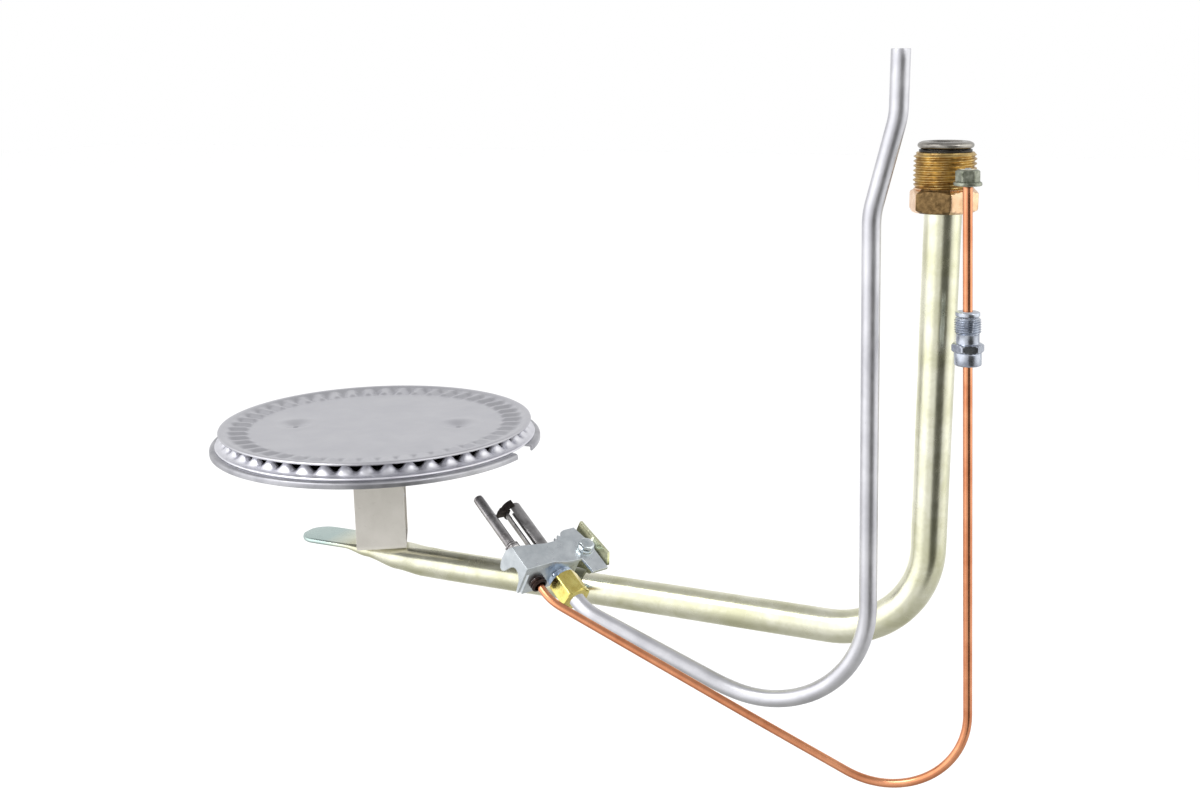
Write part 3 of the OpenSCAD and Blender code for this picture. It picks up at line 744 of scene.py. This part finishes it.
def baffle():
    """A ring of sheet with a turned-down edge and a notch over the pilot."""
    prof = [(52.5, -6.7), (61, -6.7), (64, -6.7), (67, -6.72), (68.4, -6.78), (69.05, -7.0), (69.4, -7.4),
            (69.5, -7.9), (69.5, -9.1), (69.35, -9.25), (68.75, -9.2), (68.6, -9.0), (68.6, -8.0),
            (68.3, -7.65), (67, -7.6), (64, -7.6), (61, -7.6), (52.5, -7.6)]
    a0, a1 = math.radians(-2.3), math.radians(9.4)
    th_full = np.concatenate([np.linspace(a0, a1, 11), np.linspace(a1, a0 + 2 * math.pi, 280)[1:-1]])
    n = len(th_full)
    verts, faces = [], []
    # Inner ring, all the way round
    inner = [prof[0], prof[1], prof[-2], prof[-1]]
    for r, z in inner:
        verts.extend(np.column_stack([r * np.cos(th_full), r * np.sin(th_full), np.full(n, z)]))
    faces += [f for i, f in enumerate(grid_faces(4, n))
              if not (n <= i < 2 * n and 10 <= i - n)]
    e = 3 * n
    faces += [(e + j, e + (j + 1) % n, (j + 1) % n, j) for j in range(n)]
    # Outer part, stopping at the notch
    outer = prof[1:-1]
    cols = list(range(10, n)) + [0]
    start = len(verts)
    for r, z in outer:
        verts.extend([(r * math.cos(th_full[j]), r * math.sin(th_full[j]), z) for j in cols])
    m = len(cols)
    faces += grid_faces(len(outer), m, closed=False, start=start)
    for j in (0, m - 1):
        half = len(outer) // 2
        for k in range(half):
            q = [start + k * m + j, start + (k + 1) * m + j,
                 start + (len(outer) - 2 - k) * m + j, start + (len(outer) - 1 - k) * m + j]
            if len(set(q)) == 4:
                faces.append(tuple(q))
    v = np.array(verts) + BURNER
    o = build("baffle_ring", v, faces, [M["baffle_steel"]], "assembly", ["baffle_plate"], sharp=40)
    bm = bmesh.new()
    bm.from_mesh(o.data)
    bmesh.ops.remove_doubles(bm, verts=bm.verts, dist=1e-6)
    bmesh.ops.recalc_face_normals(bm, faces=bm.faces)
    bm.to_mesh(o.data)
    bm.free()
    o.data.set_sharp_from_angle(angle=math.radians(40))


baffle()


def strap():
    """A U of strip with bent corners, its ears under the pan."""
    t, width = 1.2, 21.0
    turn = math.radians(31)
    u = np.array([math.cos(turn), math.sin(turn), 0])
    v = np.array([-math.sin(turn), math.cos(turn), 0])
    half = 12 - t / 2
    web, top = FLAT_Z + t / 2, BURNER[2] - 13.9 - t / 2
    ear, corner = 19.8, 1.7
    line = fillet([(-ear, 0, top), (-half, 0, top), (-half, 0, web),
                   (half, 0, web), (half, 0, top), (ear, 0, top)], [corner] * 4, 6)
    d = np.gradient(line, axis=0)
    d /= np.linalg.norm(d, axis=1)[:, None]
    nrm = np.column_stack([-d[:, 2], np.zeros(len(d)), d[:, 0]])
    loops = []
    for s, w in ((1, -1), (1, 1), (-1, 1), (-1, -1)):
        q = line + nrm * (s * t / 2)
        loops.append(np.array([BURNER * (1, 1, 0) + v * p[0] + u * (w * width / 2) + np.array([0, 0, p[2]])
                               for p in q]))
    m = len(line)
    verts = np.stack(loops, 1).reshape(-1, 3)
    faces = grid_faces(m, 4)
    faces += [(0, 1, 2, 3), tuple((m - 1) * 4 + k for k in range(4))]
    o = build("burner_bracket", verts, faces, [M["strap_steel"]], "assembly", ["burner_strap"], sharp=30)
    bevel(o, 0.22, 2, 60)


strap()


# ------------------------------------------------------------------ pilot

def pilot_place(y, z=AZ):
    """Z along the pilot's axis; X of the matrix is the bracket's up direction."""
    m = np.eye(4)
    m[:3, 0], m[:3, 1], m[:3, 2], m[:3, 3] = PILOT[:, 2], -PILOT[:, 1], PILOT[:, 0], in_pilot((0, y, z))
    return m


unreflected(eased("pilot_support", M["yellow_support"], "assembly", 0.25))
unreflected(eased("pilot_bracket", M["blue_zinc"], "assembly", 0.3, segments=3))

screw = np.eye(4)
screw[:3, :3] = PILOT
screw[:3, 3] = PILOT_ORIGIN
dome = [(0.0, 1.44), (0.02, 3.3), (0.12, 3.55), (0.5, 3.6), (0.75, 3.5), (0.8, 3.1)]
screw_rows = [(-6, 1.2), (-5.6, 1.44)] + dome
screw_rows += hex_rows(0.82, 2.9, 5.5, chamfer=0.7, low_cut=False)
screw_rows += [(3.0, 2.0), (3.0, 0.05)]
turned("bracket_screw_head", screw_rows, 0.05, screw, [M["screw_zinc"]], "assembly", ["bracket_screw"],
       n=120, close=True)

FLANGE = -2.5
turned("pilot_body", [(-9.0, 3.5)] + thread_rows(-8.9, -4.75, 3.9, 3.45, 1.06, 10) + [(-4.45, 3.5)] +
       hex_rows(-4.4, FLANGE, 9.5, chamfer=0.4) + [(FLANGE, 3.32), (1.0, 3.32)], 3.18,
       pilot_place(PY), [M["fitting_zinc"]], "assembly", ["pilot_fitting"], n=120)
paint("pilot_orifice", M["orifice_brass"])
paint("pilot_ferrule", M["orifice_brass"])
unreflected(turned("pilot_tube_nut", hex_rows(-15.8, -4.8, 11.1, chamfer=0.9, turn=math.radians(12)), 3.25,
                   pilot_place(PY), [M["nut_brass"]], "pilot_tube_nut", ["pilot_nut"], n=180))


def arc_shell(angles, r_out, x0, x1, start, wall=0.75):
    """Part of a rolled tube along the pilot's axis between two angles; its faces count from start."""
    n = max(8, int(abs(angles[1] - angles[0]) / 5))
    ang = np.radians(np.linspace(angles[0], angles[1], n))
    xs = np.linspace(x0, x1, 16)
    loop_r = [r_out] * n + [r_out - wall] * n
    loop_a = list(ang) + list(ang[::-1])
    verts = []
    for x in xs:
        for r, a in zip(loop_r, loop_a):
            verts.append(in_pilot((x, PY + math.sin(a) * r, AZ + math.cos(a) * r)))
    m = 2 * n
    faces = grid_faces(len(xs), m)
    faces += [(j, j + 1, m - 2 - j, m - 1 - j) for j in range(n - 1)]
    e = (len(xs) - 1) * m
    faces += [(e + j, e + j + 1, e + m - 2 - j, e + m - 1 - j) for j in range(n - 1)]
    return verts, [tuple(k + start for k in q) for q in faces]


def barrel():
    """A rolled barrel, open along two slots so that daylight shows through it."""
    verts, faces = [], []
    back = FLANGE + 1.2
    slots_from = 10.5
    parts = [((-178, 180), back, slots_from), ((-158, 40), slots_from, 35.3), ((76, 168), slots_from, 34.9)]
    for angles, x0, x1 in parts:
        v, f = arc_shell(angles, 3.92, x0, x1, len(verts))
        verts += v
        faces += f
    o = build("pilot_barrel", verts, faces, [M["barrel_steel"]], "assembly", ["pilot_burner_barrel"],
              sharp=35)
    bevel(o, 0.1, 2, 60)


barrel()


def hood():
    """A half round cap on the barrel's end, with a beak."""
    verts, faces = arc_shell((10, 190), 4.5, 33.5, 37.0, 0)
    # The beak: a bent tab over the mouth, reaching towards the thermocouple
    pts = [(33.5, 2.0), (33.7, 7.6), (34.6, 8.0), (36.2, 5.8), (36.9, 2.2)]
    s = len(verts)
    for z in (AZ + 1.7, AZ - 1.7):
        for x, y in pts:
            verts.append(in_pilot((x, PY + y, z)))
    n = len(pts)
    faces += [tuple(s + k for k in range(n)), tuple(s + n + k for k in reversed(range(n)))]
    faces += [(s + k, s + (k + 1) % n, s + n + (k + 1) % n, s + n + k) for k in range(n)]
    o = build("pilot_flame_hood", verts, faces, [M["hood_black"]], "assembly", ["pilot_hood"], sharp=35)
    bevel(o, 0.25, 2, 40)


hood()

pilot_path = fillet([in_pilot((-6.2, PY, AZ)), in_pilot((-22, PY, AZ)), (-71, -22, RUN_Z - 21),
                     (-14, -25, RUN_Z - 34), (-18.4, -25, -19), (-10.6, -25, 13), (-10.6, -25, 34)],
                    [24, 60, 42, 28, 25], 3)
unreflected(swept_tube("pilot_supply_tube", pilot_path, SUPPLY_R, M["tube_aluminium"], "assembly",
                       ["pilot_tube"], inner=SUPPLY_BORE))


# ------------------------------------------------------------------ thermocouple

probe_rows = [(17.6, 2.15), (20, 2.15), (30, 2.15), (40, 2.15), (43.6, 2.12), (44.3, 2.0), (44.6, 2.05),
              (44.9, 1.9), (45.0, 1.55), (44.7, 1.4), (44.4, 1.3), (44.4, 0.05)]
turned("thermocouple_tip", probe_rows, 0.05, pilot_place(TY), [M["probe_steel"]], "assembly",
       ["thermocouple_probe"], n=64, close=True)
sleeve_rows = [(-3.0, 2.1), (-2.9, 2.4), (FLANGE + 1.25, 2.4), (FLANGE + 1.3, 3.4), (FLANGE + 1.5, 3.6),
               (FLANGE + 2.3, 3.6), (FLANGE + 2.5, 3.4), (FLANGE + 2.55, 2.4), (9, 2.4), (9.2, 2.25),
               (10.2, 2.25),
               (10.4, 2.4), (14.6, 2.4), (14.9, 2.75), (15.2, 2.9), (15.9, 2.9), (16.1, 2.5), (16.4, 2.5),
               (16.6, 2.9), (17.2, 2.9), (17.5, 2.7), (17.7, 2.3), (18.0, 2.2)]
turned("thermocouple_sleeve_turned", sleeve_rows, 0.8, pilot_place(TY), [M["probe_steel"]], "assembly",
       ["thermocouple_sleeve"], n=64)
clip_rows = [(FLANGE - 2.5, 2.9), (FLANGE - 2.35, 3.25), (FLANGE - 2.0, 3.4), (FLANGE - 1.55, 3.3),
             (FLANGE - 1.4, 3.0), (FLANGE - 1.2, 3.0), (FLANGE - 1.05, 3.3), (FLANGE - 0.6, 3.4),
             (FLANGE - 0.15, 3.3), (FLANGE, 3.1)]
turned("thermocouple_spring_clip", clip_rows, 2.42, pilot_place(TY), [M["clip_dark"]], "assembly",
       ["thermocouple_clip"], n=64)
lead_path = fillet([in_pilot((FLANGE - 0.5, TY, AZ)), in_pilot((-13, TY, AZ)), (-58.7, -26, RUN_Z - 29.4),
                    on_lead(RUN_Z - 65), on_lead(-9.4)], [22, 60, 30], 3)
unreflected(swept_tube("thermocouple_copper_lead", lead_path, LEAD_R, M["lead_copper"], "assembly",
                       ["thermocouple_lead"], n=28, ease=0.1))

lead_place = along(on_lead(-52), LEAD_AXIS)
turned("lead_washer_ring", [(0.1, 3.8), (0.25, 4.0), (1.2, 4.0), (1.4, 3.9), (1.5, 3.7)], 1.65, lead_place,
       [M["lead_nut_zinc"]], "lead_washer", ["lead_nut_washer"], n=96)
nut_profile = [(-16.4, 4.1), (-16.2, 4.4), (-15.9, 4.5), (-12.4, 4.5), (-12.1, 4.35)]
nut_profile += hex_rows(-12.0, -9.0, 9.5, chamfer=0.5, turn=math.radians(20))
nut_profile += [(-8.95, 3.9), (-8.6, 3.8), (-6.0, 3.8), (-5.85, 3.85)]
nut_profile += thread_rows(-5.8, -0.35, 4.365, 3.85, 0.794, 12)
turned("lead_gland_nut", nut_profile, 1.65, lead_place, [M["lead_nut_zinc"]], "lead_coupling",
       ["lead_nut"], n=144)

top_place = along(on_lead(-9.4), LEAD_AXIS)
turned("terminal_flange", [(0, 4.2), (0.15, 4.5), (0.5, 4.6), (1.1, 4.5), (1.4, 4.1), (1.42, 3.7)] +
       hex_rows(1.45, 5.2, 7, chamfer=0.9, turn=math.radians(14), low_cut=False), 2.3, top_place,
       [M["terminal_zinc"]], "assembly", ["terminal_seat"], n=120)
paint("terminal_insulator", M["ceramic"])
paint("terminal_contact", M["screw_zinc"])


# ------------------------------------------------------------------ studio

def white_floor():
    """A plain pale floor, below the lowest bend."""
    me = bpy.data.meshes.new("floor")
    s, z = 6.0, -0.42
    me.from_pydata([(-s, -s, z), (s, -s, z), (s, s, z), (-s, s, z)], [], [(0, 1, 2, 3)])
    o = bpy.data.objects.new("floor", me)
    bpy.context.collection.objects.link(o)
    m = bpy.data.materials.new("floor_white")
    m.use_nodes = True
    p = m.node_tree.nodes["Principled BSDF"]
    p.inputs["Base Color"].default_value = (1.0, 1.0, 1.0, 1)
    p.inputs["Roughness"].default_value = 1.0
    p.inputs["Specular IOR Level"].default_value = 0.0
    me.materials.append(m)
    unreflected(o)


white_floor()

# Camera
az, el, roll = math.radians(24.99), math.radians(13.73), math.radians(-0.83)
back = np.array([math.sin(az) * math.cos(el), -math.cos(az) * math.cos(el), math.sin(el)])
right0 = np.array([math.cos(az), math.sin(az), 0])
up0 = np.cross(back, right0)
right = math.cos(roll) * right0 + math.sin(roll) * up0
upv = -math.sin(roll) * right0 + math.cos(roll) * up0
cam = bpy.data.cameras.new("camera")
cam.lens, cam.sensor_width = 42.0, 36.0
cam.clip_start, cam.clip_end = 0.01, 50
cam_o = bpy.data.objects.new("camera", cam)
eye = (0.09522, -0.48297, 0.03237)
mat4 = Matrix.Identity(4)
for i in range(3):
    mat4[i][0], mat4[i][1], mat4[i][2], mat4[i][3] = right[i], upv[i], back[i], eye[i]
cam_o.matrix_world = mat4
bpy.context.collection.objects.link(cam_o)
bpy.context.scene.camera = cam_o


def softbox(name, pos, target, size, power):
    """A round area light that faces the target."""
    d = bpy.data.lights.new(name, "AREA")
    d.shape, d.size, d.energy = "DISK", size, power
    o = bpy.data.objects.new(name, d)
    o.location = pos
    o.rotation_euler = (Vector(target) - Vector(pos)).to_track_quat("-Z", "Y").to_euler()
    bpy.context.collection.objects.link(o)


softbox("key", (-0.9, -0.9, 1.3), (-0.1, 0, -0.1), 0.9, 9)
softbox("fill", (1.2, -0.5, 0.9), (-0.1, 0, -0.1), 0.8, 4)


def studio_world():
    """White for the eye and for diffuse light; a studio of bright walls and a dark gap for gloss."""
    w = bpy.data.worlds.new("studio")
    bpy.context.scene.world = w
    w.use_nodes = True
    nt = w.node_tree
    bg = nt.nodes["Background"]
    tc = nt.nodes.new("ShaderNodeTexCoord")

    def lobe(direction, inner, outer):
        d = nt.nodes.new("ShaderNodeVectorMath")
        d.operation = "DOT_PRODUCT"
        d.inputs[1].default_value = tuple(unit(direction))
        nt.links.new(tc.outputs["Generated"], d.inputs[0])
        m = nt.nodes.new("ShaderNodeMapRange")
        m.interpolation_type = "SMOOTHSTEP"
        m.inputs[1].default_value = math.cos(math.radians(outer))
        m.inputs[2].default_value = math.cos(math.radians(inner))
        nt.links.new(d.outputs["Value"], m.inputs[0])
        return m.outputs[0]

    cam_h = np.array([math.sin(az), -math.cos(az), 0])
    rt = np.array([math.cos(az), math.sin(az), 0])

    def toward(deg, elev=0.0):
        a = math.radians(deg)
        h = cam_h * math.cos(a) + rt * math.sin(a)
        return h * math.cos(math.radians(elev)) + np.array([0, 0, math.sin(math.radians(elev))])

    colour = (0.86, 0.86, 0.87)
    colour = mix(nt, lobe(toward(0, 90), 20, 70), colour, (0.50, 0.50, 0.51))
    colour = mix(nt, lobe(toward(180, -30), 14, 36), colour, (1.30, 1.30, 1.31))
    colour = mix(nt, lobe(toward(-75, 15), 18, 48), colour, (1.7, 1.7, 1.72))
    colour = mix(nt, lobe(toward(85, 15), 16, 42), colour, (1.5, 1.5, 1.48))
    colour = mix(nt, lobe(toward(0, -90), 20, 70), colour, (0.52, 0.52, 0.50))
    colour = mix(nt, lobe(toward(17, -8), 18, 34), colour, (0.09, 0.09, 0.08))
    colour = mix(nt, lobe(toward(2, 12), 4, 15), colour, (0.20, 0.19, 0.18))
    lp = nt.nodes.new("ShaderNodeLightPath")
    out = mix(nt, lp.outputs["Is Glossy Ray"], (1.0, 1.0, 1.0), colour)
    nt.links.new(out, bg.inputs[0])
    bg.inputs[1].default_value = 1.0


studio_world()
bpy.context.scene.view_settings.view_transform = "Standard"
